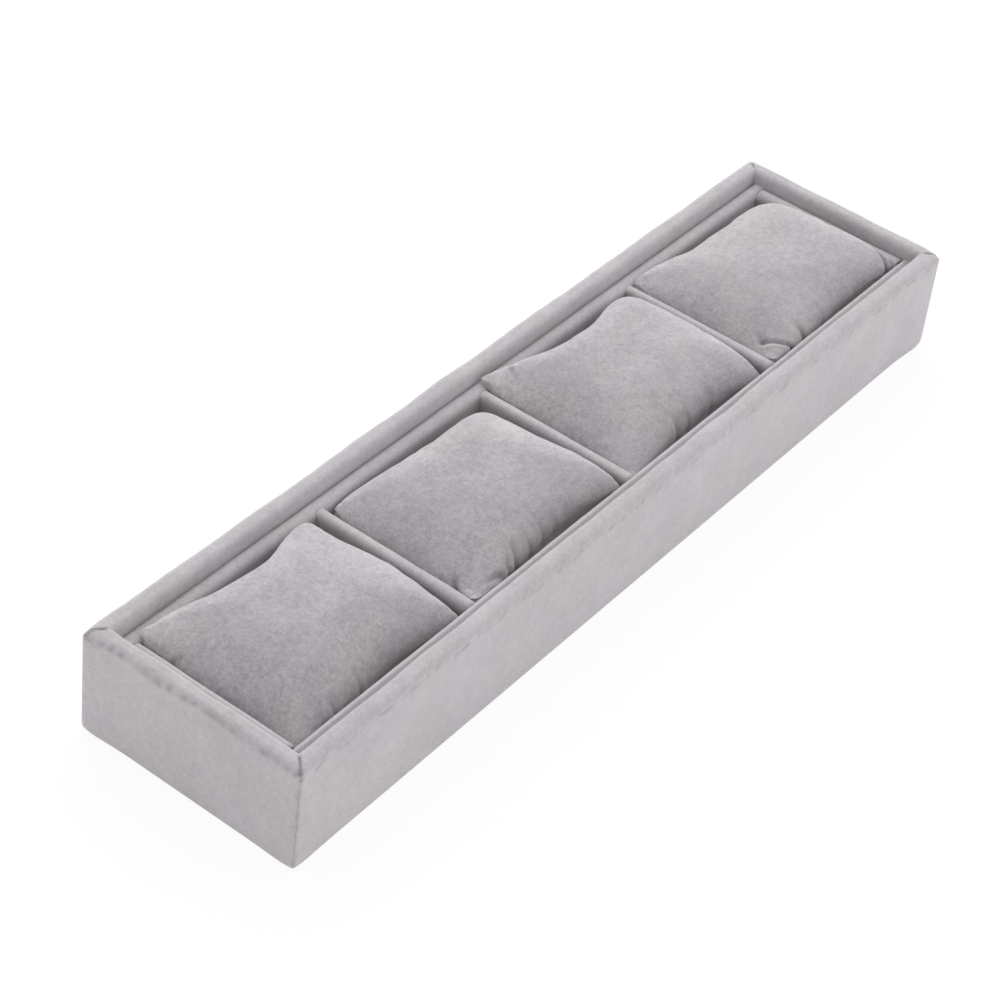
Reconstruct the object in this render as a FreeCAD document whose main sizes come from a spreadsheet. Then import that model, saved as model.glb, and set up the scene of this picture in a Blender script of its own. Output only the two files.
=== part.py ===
import FreeCAD, Part
import os

import Sketcher

# Driving dimensions of the tray in millimetres, with angles in degrees: name, value, what it measures.
SIZES = (
    ("tray_length", "380", "outside length over the velvet"),
    ("tray_width", "90", "outside width over the velvet"),
    ("tray_height", "44.6", "outside height from the table to the rim"),
    ("velvet_thickness", "0.8", "velvet on the boards, the floor and the pillows"),
    ("wall_thickness", "5", "fibreboard of the outer walls"),
    ("base_thickness", "3", "fibreboard of the base"),
    ("hem_width", "14", "velvet turned in under the base"),
    ("upright_edge_radius", "2.6", "rounding of the wall boards' upright outer edges"),
    ("rim_outer_edge_radius", "2", "rounding of the wall boards' outer top edge"),
    ("rim_inner_edge_radius", "1.4", "rounding of the wall boards' inner top edge"),
    ("foot_edge_radius", "0.7", "rounding of the wall boards' lower outer edge"),
    ("liner_thickness", "4.2", "board inside each liner wall"),
    ("liner_drop", "5.4", "step from the rim down to the top of the liner"),
    ("liner_edge_radius", "1.6", "rounding of the liner boards' top edges"),
    ("divider_thickness", "2.4", "board inside each divider"),
    ("divider_drop", "0.3", "step from the top of the liner down to the top of a divider"),
    ("divider_edge_radius", "1.05", "rounding of the divider boards' top edges"),
    ("card_thickness", "1.5", "card under the floor velvet"),
    ("pillow_height", "38", "pillow from its underside to its crown"),
    ("pillow_side_gap", "0.8", "room between a pillow's corners and its compartment"),
    ("pillow_rest_gap", "0.3", "room between a pillow and the floor velvet"),
    ("seam_height", "20", "pillow seam above the underside"),
    ("seam_draw", "3", "how far a pillow's side is drawn in at the seam"),
    ("crown_angle", "75", "sweep of the crown from the seam to the flat of the top"),
    ("crown_fullness", "0.5", "exponent of the crown's profile, lower is fuller"),
    ("belly_angle", "60", "sweep of the belly from the seam to the flat of the underside"),
    ("belly_fullness", "0.5", "exponent of the belly's profile, lower is fuller"),
    ("panel_bow", "2.5", "outward bow of a pillow's sides towards its top and underside"),
    ("filling_gap", "0.4", "room between a pillow's panels and its filling"),
)

PILLOW_COUNT = 4
CROWN_SECTION_COUNT = 3
BELLY_SECTION_COUNT = 2

# Sizes that follow from the driving dimensions, as expressions.
VELVET = "Sizes.velvet_thickness"
WALL = "(Sizes.velvet_thickness + Sizes.wall_thickness)"
RIM = "(Sizes.wall_thickness + 2 * Sizes.velvet_thickness)"
LINER = "(Sizes.liner_thickness + 2 * Sizes.velvet_thickness)"
DIVIDER = "(Sizes.divider_thickness + 2 * Sizes.velvet_thickness)"

BASE_TOP = "(Sizes.velvet_thickness + Sizes.base_thickness)"
CARD_TOP = f"({BASE_TOP} + Sizes.card_thickness)"
FLOOR = f"({CARD_TOP} + Sizes.velvet_thickness)"
LINER_TOP = "(Sizes.tray_height - Sizes.liner_drop)"
DIVIDER_TOP = f"({LINER_TOP} - Sizes.divider_drop)"

INNER_LENGTH = f"(Sizes.tray_length - 2 * {WALL})"
INNER_WIDTH = f"(Sizes.tray_width - 2 * {WALL})"
WELL_LENGTH = f"(Sizes.tray_length - 2 * {RIM})"
WELL_WIDTH = f"(Sizes.tray_width - 2 * {RIM})"
BED_LENGTH = f"({WELL_LENGTH} - 2 * {LINER})"
BED_WIDTH = f"({WELL_WIDTH} - 2 * {LINER})"
PITCH = f"(({BED_LENGTH} + {DIVIDER}) / {PILLOW_COUNT})"
CELL_LENGTH = f"({PITCH} - {DIVIDER})"

# Most that a rounded edge may take of its board's thickness, or of the upright edge it runs into.
BOARD_SHARE = 0.45
UPRIGHT_SHARE = 0.9
UPRIGHT_EDGE = "Sizes.upright_edge_radius"
WALL_LIMIT = f"{BOARD_SHARE} * Sizes.wall_thickness"
CORNER_LIMIT = f"{UPRIGHT_SHARE} * {UPRIGHT_EDGE}"
RIM_OUTER_EDGE = f"min(Sizes.rim_outer_edge_radius; {WALL_LIMIT}; {CORNER_LIMIT})"
RIM_INNER_EDGE = f"min(Sizes.rim_inner_edge_radius; {WALL_LIMIT})"
FOOT_EDGE = f"min(Sizes.foot_edge_radius; {CORNER_LIMIT})"
LINER_EDGE = f"min(Sizes.liner_edge_radius; {BOARD_SHARE} * Sizes.liner_thickness)"
DIVIDER_EDGE = f"min(Sizes.divider_edge_radius; {BOARD_SHARE} * Sizes.divider_thickness)"

SEAM_HALF_LENGTH = f"({CELL_LENGTH} / 2 - Sizes.pillow_side_gap)"
SEAM_HALF_WIDTH = f"({BED_WIDTH} / 2 - Sizes.pillow_side_gap)"
CROWN_RISE = "(Sizes.pillow_height - Sizes.seam_height)"

# The sides of the tray: name, whether it is a long side, its direction from the middle, its turn about Z.
SIDES = (
    ("front", True, -1, 0),
    ("right", False, 1, 90),
    ("rear", True, 1, 180),
    ("left", False, -1, 270),
)
CORNER_SIGNS = ((-1, -1), (1, -1), (1, 1), (-1, 1))
UP = FreeCAD.Vector(0, 0, 1)
ACROSS_ANGLE = 90
FLAT = 1e-6

# Rough sizes that a sketch is drawn at before its dimensions take over.
DRAWN_HALF_LENGTH = 20.0
DRAWN_HALF_WIDTH = 15.0
DRAWN_BOW = 0.05

doc = FreeCAD.newDocument("jewelry_tray")
nodes = {}


def write_sizes():
    """Fill the sheet of driving dimensions."""
    sheet = doc.addObject("Spreadsheet::Sheet", "Sizes")
    for row, (alias, value, meaning) in enumerate(SIZES, start=1):
        sheet.set(f"A{row}", meaning)
        sheet.set(f"B{row}", value)
        sheet.setAlias(f"B{row}", alias)
    doc.recompute()


def place(thing, across="0", along="0", level="0", turn=0):
    """Turn a piece about Z and tie its place to the sheet."""
    thing.Placement = FreeCAD.Placement(FreeCAD.Vector(), FreeCAD.Rotation(UP, turn))
    thing.setExpression("Placement.Base.x", across)
    thing.setExpression("Placement.Base.y", along)
    thing.setExpression("Placement.Base.z", level)


def add_node(name, thing):
    """Name a finished piece of the tray."""
    thing.Label = name
    nodes[name] = thing


def box(name, length, width, height, across="0", along="0", level="0"):
    """A block centred on its place in plan, standing on its level."""
    block = doc.addObject("Part::Box", name)
    block.setExpression("Length", length)
    block.setExpression("Width", width)
    block.setExpression("Height", height)
    place(block, f"{across} - {length} / 2", f"{along} - {width} / 2", level)
    return block


def boolean(kind, name, base, tool):
    """Cut, fuse or intersect two pieces."""
    result = doc.addObject(f"Part::{kind}", name)
    result.Base = base
    result.Tool = tool
    return result


def name_constraint(sketch, name, constraint, expression):
    """Add a dimension to a sketch and tie it to the sheet."""
    number = sketch.addConstraint(constraint)
    sketch.renameConstraint(number, name)
    sketch.setExpression(f"Constraints.{name}", expression)


def drawn_corners():
    """Corners that a four-sided sketch starts from, anticlockwise from the near left."""
    return [FreeCAD.Vector(x * DRAWN_HALF_LENGTH, y * DRAWN_HALF_WIDTH, 0) for x, y in CORNER_SIGNS]


def rectangle(body, name, length, width, level):
    """A centred rectangle on the body's own horizontal plane, raised to a level."""
    sketch = body.newObject("Sketcher::SketchObject", name)
    plane = next(part for part in body.Origin.OriginFeatures if part.Role == "XY_Plane")
    sketch.AttachmentSupport = [(plane, "")]
    sketch.MapMode = "FlatFace"
    sketch.setExpression("AttachmentOffset.Base.z", level)
    corners = drawn_corners()
    for side in range(4):
        sketch.addGeometry(Part.LineSegment(corners[side], corners[(side + 1) % 4]))
    for side in range(4):
        sketch.addConstraint(Sketcher.Constraint("Coincident", side, 2, (side + 1) % 4, 1))
    for direction, side in (("Horizontal", 0), ("Vertical", 1), ("Horizontal", 2), ("Vertical", 3)):
        sketch.addConstraint(Sketcher.Constraint(direction, side))
    sketch.addConstraint(Sketcher.Constraint("Symmetric", 0, 1, 2, 1, -1, 1))
    name_constraint(sketch, "length", Sketcher.Constraint("Distance", 0, 2 * DRAWN_HALF_LENGTH), length)
    name_constraint(sketch, "width", Sketcher.Constraint("Distance", 1, 2 * DRAWN_HALF_WIDTH), width)
    return sketch


def pad(body, sketch, height):
    """Raise a sketch into a solid."""
    feature = body.newObject("PartDesign::Pad", f"{sketch.Name}_pad")
    feature.Profile = sketch
    feature.setExpression("Length", height)
    doc.recompute()
    return feature


def pocket(body, sketch, depth):
    """Sink a sketch into the solid below it."""
    before = body.Shape.Volume
    feature = body.newObject("PartDesign::Pocket", f"{sketch.Name}_pocket")
    feature.Profile = sketch
    feature.setExpression("Length", depth)
    doc.recompute()
    if body.Shape.Volume >= before:
        raise RuntimeError(f"{sketch.Name} cuts nothing")
    return feature


def round_edges(body, feature, edges, radius):
    """Round some edges of the body's last feature."""
    picked = [
        f"Edge{number}"
        for number, edge in enumerate(feature.Shape.Edges, start=1)
        if any(edge.isSame(other) for other in edges)
    ]
    rounded = body.newObject("PartDesign::Fillet", f"{feature.Name}_round")
    rounded.Base = (feature, picked)
    rounded.setExpression("Radius", radius)
    doc.recompute()
    return rounded


def top_face(feature):
    return max(feature.Shape.Faces, key=lambda face: face.CenterOfMass.z)


def bottom_face(feature):
    return min(feature.Shape.Faces, key=lambda face: face.CenterOfMass.z)


def hollow_block(name, inset, wall, level, height):
    """A round-edged block the size of the tray less an inset, hollowed down to the base board."""
    body = doc.addObject("PartDesign::Body", name)
    cover = f"({VELVET} - {inset})"
    top = f"({level} + {height})"
    length = f"Sizes.tray_length - 2 * {inset}"
    width = f"Sizes.tray_width - 2 * {inset}"
    solid = pad(body, rectangle(body, f"{name}_outline", length, width, level), height)
    upright = [edge for edge in solid.Shape.Edges if edge.BoundBox.ZLength > FLAT]
    solid = round_edges(body, solid, upright, f"{UPRIGHT_EDGE} + {cover}")
    solid = round_edges(body, solid, top_face(solid).Edges, f"{RIM_OUTER_EDGE} + {cover}")
    solid = round_edges(body, solid, bottom_face(solid).Edges, f"{FOOT_EDGE} + {cover}")
    well_length = f"Sizes.tray_length - 2 * {wall}"
    well_width = f"Sizes.tray_width - 2 * {wall}"
    well = rectangle(body, f"{name}_well", well_length, well_width, top)
    solid = pocket(body, well, f"{top} - {BASE_TOP}")
    rim = top_face(solid)
    inner = next(wire for wire in rim.Wires if not wire.isSame(rim.OuterWire))
    round_edges(body, solid, inner.Edges, f"{RIM_INNER_EDGE} + {cover}")
    return body


def bar(name, length, width, height, radius):
    """A straight bar along X with both long top edges rounded."""
    body = doc.addObject("PartDesign::Body", name)
    solid = pad(body, rectangle(body, f"{name}_outline", length, width, "0"), height)
    long_edges = [edge for edge in top_face(solid).Edges if edge.BoundBox.YLength < FLAT]
    round_edges(body, solid, long_edges, radius)
    return body


def mitre_wedge(name, span):
    """The share of the tray's plan that belongs to one side, ending in two mitres."""
    wedge = doc.addObject("Part::Wedge", name)
    depth = "(Sizes.hem_width + Sizes.wall_thickness)"
    wide = f"({span} / 2)"
    narrow = f"({span} / 2 - {depth})"
    bounds = {
        "Xmin": f"-{wide}", "Xmax": wide, "X2min": f"-{narrow}", "X2max": narrow,
        "Ymin": "0", "Ymax": depth,
        "Zmin": "0", "Zmax": "Sizes.tray_height", "Z2min": "0", "Z2max": "Sizes.tray_height",
    }
    for bound, expression in bounds.items():
        wedge.setExpression(bound, expression)
    return wedge


def side_centre(is_long, direction, inset):
    """Middle of one side in plan, the inset measured in from the outside face."""
    if is_long:
        return "0", f"{direction} * (Sizes.tray_width / 2 - ({inset}))"
    return f"{direction} * (Sizes.tray_length / 2 - ({inset}))", "0"


def build_walls():
    """Wall boards, base board and underside sheet, with the mitred velvet covers round them."""
    skin = hollow_block("wall_skin", "0", RIM, "0", "Sizes.tray_height")
    core = hollow_block("wall_core", VELVET, WALL, VELVET, f"(Sizes.tray_height - 2 * {VELVET})")
    base = box("base_board", INNER_LENGTH, INNER_WIDTH, "Sizes.base_thickness", level=VELVET)
    add_node("base_board", base)
    sheet_length = "(Sizes.tray_length - 2 * Sizes.hem_width)"
    sheet_width = "(Sizes.tray_width - 2 * Sizes.hem_width)"
    sheet = box("underside_sheet", sheet_length, sheet_width, VELVET)
    add_node("underside_sheet", sheet)
    wrap = boolean("Cut", "wall_wrap", skin, core)
    wrap = boolean("Cut", "hemmed_wrap", wrap, sheet)
    for side, is_long, direction, turn in SIDES:
        name = f"{side}_wall" if is_long else f"{side}_end"
        length = "Sizes.tray_length" if is_long else WALL
        width = WALL if is_long else INNER_WIDTH
        middle = side_centre(is_long, direction, f"{WALL} / 2")
        blank = box(f"{name}_blank", length, width, "Sizes.tray_height", *middle)
        add_node(f"{name}_board", boolean("Common", f"{name}_board", core, blank))
        wedge = mitre_wedge(f"{name}_wedge", "Sizes.tray_length" if is_long else "Sizes.tray_width")
        place(wedge, *side_centre(is_long, direction, "0"), turn=turn)
        add_node(f"{name}_cover", boolean("Common", f"{name}_cover", wrap, wedge))


def covered_bar(name, length, thickness, bottom, top, radius, middle, turn):
    """An upright board with a velvet cover folded over its top and down both faces."""
    height = f"({top} - {bottom})"
    board = bar(f"{name}_board", length, thickness, f"{height} - {VELVET}", radius)
    place(board, *middle, bottom, turn)
    add_node(f"{name}_board", board)
    form = bar(f"{name}_form", length, f"{thickness} + 2 * {VELVET}", height, f"{radius} + {VELVET}")
    place(form, *middle, bottom, turn)
    add_node(f"{name}_cover", boolean("Cut", f"{name}_cover", form, board))


def build_liner():
    """Four covered liner walls inside the rim, the short ones between the long ones."""
    for side, is_long, direction, turn in SIDES:
        length = WELL_LENGTH if is_long else BED_WIDTH
        middle = side_centre(is_long, direction, f"{RIM} + {LINER} / 2")
        name = f"{side}_liner"
        covered_bar(name, length, "Sizes.liner_thickness", BASE_TOP, LINER_TOP, LINER_EDGE, middle, turn)


def build_floor():
    """Card on the base board inside the liner, and the velvet on it."""
    card = box("floor_card", BED_LENGTH, BED_WIDTH, "Sizes.card_thickness", level=BASE_TOP)
    add_node("floor_card", card)
    velvet = box("floor_velvet", BED_LENGTH, BED_WIDTH, VELVET, level=CARD_TOP)
    add_node("floor_velvet", velvet)


def build_dividers():
    """Covered dividers between the compartments, standing on the floor velvet."""
    count = PILLOW_COUNT - 1
    for number in range(1, count + 1):
        middle = (f"{number - (count + 1) / 2} * {PITCH}", "0")
        thickness = "Sizes.divider_thickness"
        name = f"divider_{number}"
        covered_bar(name, BED_WIDTH, thickness, FLOOR, DIVIDER_TOP, DIVIDER_EDGE, middle, ACROSS_ANGLE)


def pillow_outline(name, half_length, half_width, bow, is_drawn_in, level):
    """A four-sided outline whose sides are shallow arcs, bowed out or drawn in."""
    sketch = doc.addObject("Sketcher::SketchObject", name)
    corners = drawn_corners()
    reach = 1 - DRAWN_BOW if is_drawn_in else 1 + DRAWN_BOW
    first, last = (2, 1) if is_drawn_in else (1, 2)
    for side in range(4):
        start = corners[side]
        end = corners[(side + 1) % 4]
        sketch.addGeometry(Part.Arc(start, (start + end) / 2 * reach, end))
    for side in range(4):
        sketch.addConstraint(Sketcher.Constraint("Coincident", side, last, (side + 1) % 4, first))
    for side, direction in enumerate(("Horizontal", "Vertical", "Horizontal", "Vertical")):
        sketch.addConstraint(Sketcher.Constraint(direction, side, first, side, last))
    sketch.addConstraint(Sketcher.Constraint("Symmetric", 0, first, 2, first, -1, 1))
    sketch.addConstraint(Sketcher.Constraint("Equal", 0, 2))
    sketch.addConstraint(Sketcher.Constraint("Equal", 1, 3))
    corner_x = Sketcher.Constraint("DistanceX", -1, 1, 2, first, DRAWN_HALF_LENGTH)
    name_constraint(sketch, "half_length", corner_x, half_length)
    corner_y = Sketcher.Constraint("DistanceY", -1, 1, 2, first, DRAWN_HALF_WIDTH)
    name_constraint(sketch, "half_width", corner_y, half_width)
    for label, side, half_chord in (("long_bow", 0, half_length), ("short_bow", 1, half_width)):
        radius = Sketcher.Constraint("Radius", side, sketch.Geometry[side].Radius)
        expression = f"({half_chord} * {half_chord} + {bow} * {bow}) / (2 * {bow})"
        name_constraint(sketch, label, radius, expression)
    place(sketch, level=level)
    return sketch


def pillow_half(name, direction, rise, sweep, fullness, count, inset):
    """Half a pillow from its seam to its crown or its underside, shrunk by an inset."""
    seam = (f"({SEAM_HALF_LENGTH} - {inset})", f"({SEAM_HALF_WIDTH} - {inset})")
    sections = [pillow_outline(f"{name}_seam", *seam, "Sizes.seam_draw", True, "Sizes.seam_height")]
    for step in range(1, count + 1):
        angle = f"({sweep} * {step} / {count})"
        share = f"pow(cos({angle}); {fullness})"
        half_length = f"({SEAM_HALF_LENGTH} * {share} - {inset})"
        half_width = f"({SEAM_HALF_WIDTH} * {share} - {inset})"
        bow = f"(Sizes.panel_bow * sin({angle}))"
        climb = f"({rise} - {inset}) * sin({angle}) / sin({sweep})"
        level = f"Sizes.seam_height + {direction} * {climb}"
        sections.append(pillow_outline(f"{name}_{step}", half_length, half_width, bow, False, level))
    loft = doc.addObject("Part::Loft", name)
    loft.Sections = sections
    loft.Solid = True
    loft.Ruled = False
    return loft


def build_pillows():
    """Four pillows, each a top and a bottom panel sewn round the edge over a soft filling."""
    insets = {"form": "0", "hollow": VELVET, "filling": f"({VELVET} + Sizes.filling_gap)"}
    crown = ("Sizes.crown_angle", "Sizes.crown_fullness", CROWN_SECTION_COUNT)
    belly = ("Sizes.belly_angle", "Sizes.belly_fullness", BELLY_SECTION_COUNT)
    tops = {part: pillow_half(f"top_{part}", 1, CROWN_RISE, *crown, inset) for part, inset in insets.items()}
    bottoms = {
        part: pillow_half(f"bottom_{part}", -1, "Sizes.seam_height", *belly, inset)
        for part, inset in insets.items()
    }
    for number in range(1, PILLOW_COUNT + 1):
        name = f"pillow_{number}"
        pieces = {
            f"{name}_top_panel": ("Cut", tops["form"], tops["hollow"]),
            f"{name}_bottom_panel": ("Cut", bottoms["form"], bottoms["hollow"]),
            f"{name}_filling": ("Fuse", tops["filling"], bottoms["filling"]),
        }
        across = f"{number - (PILLOW_COUNT + 1) / 2} * {PITCH}"
        for label, (kind, base, tool) in pieces.items():
            piece = boolean(kind, label, base, tool)
            place(piece, across, "0", f"{FLOOR} + Sizes.pillow_rest_gap")
            add_node(label, piece)


def check_document():
    """Stop if any feature failed or any piece isn't one sound solid."""
    doc.recompute()
    for thing in doc.Objects:
        if "Invalid" in thing.State or "Error" in thing.State:
            raise RuntimeError(f"{thing.Label} failed: {thing.State}")
    for name, thing in nodes.items():
        shape = thing.Shape
        if shape.isNull() or not shape.isValid() or len(shape.Solids) != 1:
            raise RuntimeError(f"{name} is not one sound solid")


def write_parts():
    os.makedirs("parts", exist_ok=True)
    for name, thing in nodes.items():
        thing.Shape.exportStep(f"parts/{name}.step")


write_sizes()
build_walls()
build_liner()
build_floor()
build_dividers()
build_pillows()
check_document()
write_parts()
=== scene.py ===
import math
from typing import NamedTuple

import bmesh
import bpy
import numpy as np
from bpy.props import FloatProperty, FloatVectorProperty, PointerProperty
from mathutils import Euler, Matrix, Vector


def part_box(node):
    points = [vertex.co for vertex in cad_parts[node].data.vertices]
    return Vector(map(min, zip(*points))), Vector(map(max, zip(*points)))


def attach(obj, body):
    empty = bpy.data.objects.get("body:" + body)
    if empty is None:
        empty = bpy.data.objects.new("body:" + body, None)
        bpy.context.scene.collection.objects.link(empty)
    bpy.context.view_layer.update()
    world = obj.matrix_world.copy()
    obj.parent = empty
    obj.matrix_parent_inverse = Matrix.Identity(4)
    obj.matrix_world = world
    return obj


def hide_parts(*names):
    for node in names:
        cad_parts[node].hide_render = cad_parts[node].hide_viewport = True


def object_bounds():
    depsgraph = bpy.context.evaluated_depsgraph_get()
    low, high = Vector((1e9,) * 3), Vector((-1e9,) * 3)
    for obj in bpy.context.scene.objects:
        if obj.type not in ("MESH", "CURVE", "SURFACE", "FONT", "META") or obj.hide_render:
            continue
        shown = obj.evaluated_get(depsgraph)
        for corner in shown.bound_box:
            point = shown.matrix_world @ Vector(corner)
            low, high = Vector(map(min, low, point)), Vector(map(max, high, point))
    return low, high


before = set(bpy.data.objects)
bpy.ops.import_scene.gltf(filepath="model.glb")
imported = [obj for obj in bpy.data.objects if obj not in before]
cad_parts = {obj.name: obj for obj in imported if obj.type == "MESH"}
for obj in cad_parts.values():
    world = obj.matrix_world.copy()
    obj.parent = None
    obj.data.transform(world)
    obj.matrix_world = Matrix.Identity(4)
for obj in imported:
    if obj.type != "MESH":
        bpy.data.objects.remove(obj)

bl_info = {
    "name": "Jewelry tray",
    "version": (1, 0, 0),
    "blender": (4, 5, 0),
    "location": "3D View > Sidebar > Jewelry tray",
    "description": "Dresses a jewelry tray in velvet and stuffs its four pillows",
    "category": "Object",
}

MM = 0.001
CAD_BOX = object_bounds()
TRAY_LOW = np.array(CAD_BOX[0])
TRAY_HIGH = np.array(CAD_BOX[1])
UP = np.array((0, 0, 1.0))
TINY = 1e-12

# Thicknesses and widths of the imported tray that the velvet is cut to.
SHEET_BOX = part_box("underside_sheet")
VELVET = SHEET_BOX[1].z - SHEET_BOX[0].z
HEM = SHEET_BOX[0].x - TRAY_LOW[0]
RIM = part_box("front_liner_cover")[0].y - TRAY_LOW[1]
BASE_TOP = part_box("base_board")[1].z
FLOOR_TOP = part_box("floor_velvet")[1].z
LINER_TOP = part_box("front_liner_cover")[1].z
CELL_HALF_WIDTH = -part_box("front_liner_cover")[1].y
CELL_HALF_LENGTH = (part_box("divider_2_cover")[0].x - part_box("divider_1_cover")[1].x) / 2
PILLOW_COUNT = 4
PANEL_COLUMNS = 81
PANEL_ROWS = 65

# Way the slopes face that are painted lighter, the rest darker, standing in for light from the rear right;
# and the attribute that holds the painted shade.
LIT_SLOPE_WAY = (0.62, 0.78, 0.0)
PAINTED_SHADE_NAME = "pressed"

BOARD_NODES = (
    "base_board", "front_wall_board", "rear_wall_board", "left_end_board", "right_end_board",
    "front_liner_board", "rear_liner_board", "left_liner_board", "right_liner_board",
    "divider_1_board", "divider_2_board", "divider_3_board",
)


class Side(NamedTuple):
    """One side of the tray: the way out of it, the way along it, and where its fold crease runs."""

    name: str
    node: str
    outward: tuple
    along: tuple
    half_length: float
    half_depth: float
    crease_level: float


HALF_LENGTH = TRAY_HIGH[0]
HALF_WIDTH = TRAY_HIGH[1]
SIDES = (
    Side("front", "front_wall_cover", (0, -1, 0), (1, 0, 0), HALF_LENGTH, HALF_WIDTH, 41.2 * MM),
    Side("right", "right_end_cover", (1, 0, 0), (0, 1, 0), HALF_WIDTH, HALF_LENGTH, 42.0 * MM),
    Side("rear", "rear_wall_cover", (0, 1, 0), (-1, 0, 0), HALF_LENGTH, HALF_WIDTH, 41.4 * MM),
    Side("left", "left_end_cover", (-1, 0, 0), (0, -1, 0), HALF_WIDTH, HALF_LENGTH, 42.6 * MM),
)

class Corner(NamedTuple):
    """An upright corner from one side to the next, and how far the velvet strays there.

    Its mitre gapes by the slit at the rim. The velvet, folded double along the edge, stands out at the foot
    and at the rim, and dips where it is pulled tight over the corner.
    """

    start: str
    end: str
    slit: float
    foot_lean: float
    rim_lean: float
    dip: float


CORNERS = (
    Corner("left", "front", 0.04 * MM, 0.3 * MM, 0.3 * MM, 0.1 * MM),
    Corner("front", "right", 0.03 * MM, 1.2 * MM, 0.3 * MM, 0.6 * MM),
    Corner("right", "rear", 0.03 * MM, 0.3 * MM, 0.3 * MM, 0.2 * MM),
    Corner("rear", "left", 0.03 * MM, 0.9 * MM, 0.8 * MM, 0.75 * MM),
)


class Gather(NamedTuple):
    """A pinched fold in a pillow's top, in millimetres from its middle: its ends, depths and width."""

    start: tuple
    end: tuple
    depths: tuple
    width: float


class PillowShape(NamedTuple):
    """How one pillow has settled in its compartment, in millimetres.

    Corners go rear left, rear right, front left, front right. The draws of the rear and front side go from
    left to right, those of the left and right side from front to rear. Fullness goes left, right, front,
    rear.
    """

    ear_rises: tuple
    ear_tightness: tuple
    ear_pulls: tuple
    rear_draws: tuple
    front_draws: tuple
    right_draws: tuple
    fullness: tuple
    gathers: tuple
    left_draws: tuple = (0.1, 0.1, 0.2)


# An ear on the left side lifts no more of that side's seam than this tightness lets it.
LEFT_TIGHTNESS = 2.4
CORNER_WAYS = ((-1, 1), (1, 1), (-1, -1), (1, -1))
DRAWS_ALONG = (-0.7, -0.25, 0.2, 0.6)
DRAWS_ACROSS = (-0.6, 0.0, 0.6)
PILLOWS = (
    PillowShape(
        ear_rises=(13.9, 12.3, 7.5, 7.4), ear_tightness=(1.0, 1.2, 3.0, 3.1),
        ear_pulls=((-1.0, -2.3), (6.9, 1.7), (-0.6, -0.6), (2.0, 0.0)),
        rear_draws=(-0.2, 3.5, 5.3, 0.8), front_draws=(0.4, 1.8, 3.2, 2.2),
        right_draws=(0.7, 0.2, 3.9), fullness=(2.4, 3.2, 2.4, 5.8),
        gathers=(
            Gather((-21, -32), (-20, -25), (1.3, 0.0), 1.2),
            Gather((-7, -31), (-6, -24), (1.3, 0.0), 1.2),
            Gather((-43, 20), (-38, 17), (1.4, 0.0), 1.2),
        ),
    ),
    PillowShape(
        ear_rises=(9.5, 2.7, 12.0, 9.0), ear_tightness=(3.2, 3.7, 3.0, 1.3),
        ear_pulls=((3.0, 1.0), (6.8, 8.5), (-0.6, -0.6), (2.0, 0.0)),
        rear_draws=(0.2, 2.5, 3.6, 1.7), front_draws=(-0.2, 2.2, 4.0, 2.6),
        right_draws=(-0.1, 2.9, 2.7), fullness=(2.4, 4.1, 2.3, 5.2),
        gathers=(
            Gather((-17, -32), (-13, -23), (2.4, 0.0), 1.1),
            Gather((-22.5, -33), (-19, -26), (2.2, 0.0), 0.9),
            Gather((-7, -31), (-6, -22), (1.2, 0.0), 1.3),
            Gather((1, -30), (2, -21), (0.9, 0.0), 1.4),
            Gather((9, -30), (9, -21), (0.7, 0.0), 1.6),
            Gather((-43.5, -25), (-38.5, -20), (3.2, 0.4), 1.3),
            Gather((-34, -29.5), (-25.5, -30.5), (0.2, 1.4), 1.6),
        ),
    ),
    PillowShape(
        ear_rises=(15.2, 14.2, 9.5, 8.1), ear_tightness=(1.1, 1.2, 3.0, 2.0),
        ear_pulls=((-1.0, -4.8), (7.6, 6.6), (-0.6, -0.6), (2.7, 0.0)),
        rear_draws=(-0.2, 4.4, 5.4, 1.4), front_draws=(0.4, 2.8, 4.0, 2.2),
        right_draws=(0.2, 0.8, 1.3), fullness=(2.4, 3.9, 2.3, 6.0),
        gathers=(
            Gather((-8, -31), (-8, -23), (1.8, 0.0), 1.2),
            Gather((-0.5, -30), (-0.5, -22), (1.2, 0.0), 1.2),
            Gather((14, -31), (14, -23), (1.1, 0.0), 1.3),
            Gather((-32, 31), (-36, 25), (1.3, 0.4), 1.4),
        ),
    ),
    PillowShape(
        ear_rises=(13.2, 12.8, 12.6, 11.0), ear_tightness=(0.8, 1.2, 3.0, 1.2),
        ear_pulls=((-1.4, -0.8), (10.0, 10.0), (-0.6, -0.6), (-0.8, -0.6)),
        rear_draws=(-0.2, 4.1, 3.6, 2.6), front_draws=(-0.3, 1.0, 1.8, 1.6),
        right_draws=(-0.2, 0.8, 1.3), fullness=(2.4, 7.0, 2.6, 3.5),
        gathers=(
            Gather((-37.5, -23), (-29, -32.5), (1.2, 1.8), 0.9),
            Gather((-42, -27), (-37.5, -23), (0.2, 1.0), 1.1),
            Gather((-36.5, -24), (-35, -17), (0.9, 0.0), 1.6),
            Gather((-20, -32), (-20, -24), (1.8, 0.0), 1.3),
            Gather((-5, -31), (-6, -23), (0.6, 0.0), 1.8),
            Gather((38.5, -32), (42.0, -23), (1.5, 0.4), 1.1),
        ),
    ),
)


def linear(code):
    """Linear colour of an sRGB hex code."""
    values = [int(code[k:k + 2], 16) / 255 for k in (1, 3, 5)]
    return [v / 12.92 if v <= 0.04045 else ((v + 0.055) / 1.055) ** 2.4 for v in values]


def length_property(name, description, millimetres):
    """A property that holds a length."""
    return FloatProperty(name=name, description=description, unit="LENGTH", default=millimetres * MM)


def share_property(name, description, share):
    """A property that holds a share of one."""
    return FloatProperty(name=name, description=description, subtype="FACTOR", default=share)


def colour_property(name, description, code):
    """A property that holds a colour, its default given as a hex code."""
    return FloatVectorProperty(
        name=name, description=description, subtype="COLOR", size=3, default=linear(code))


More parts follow.
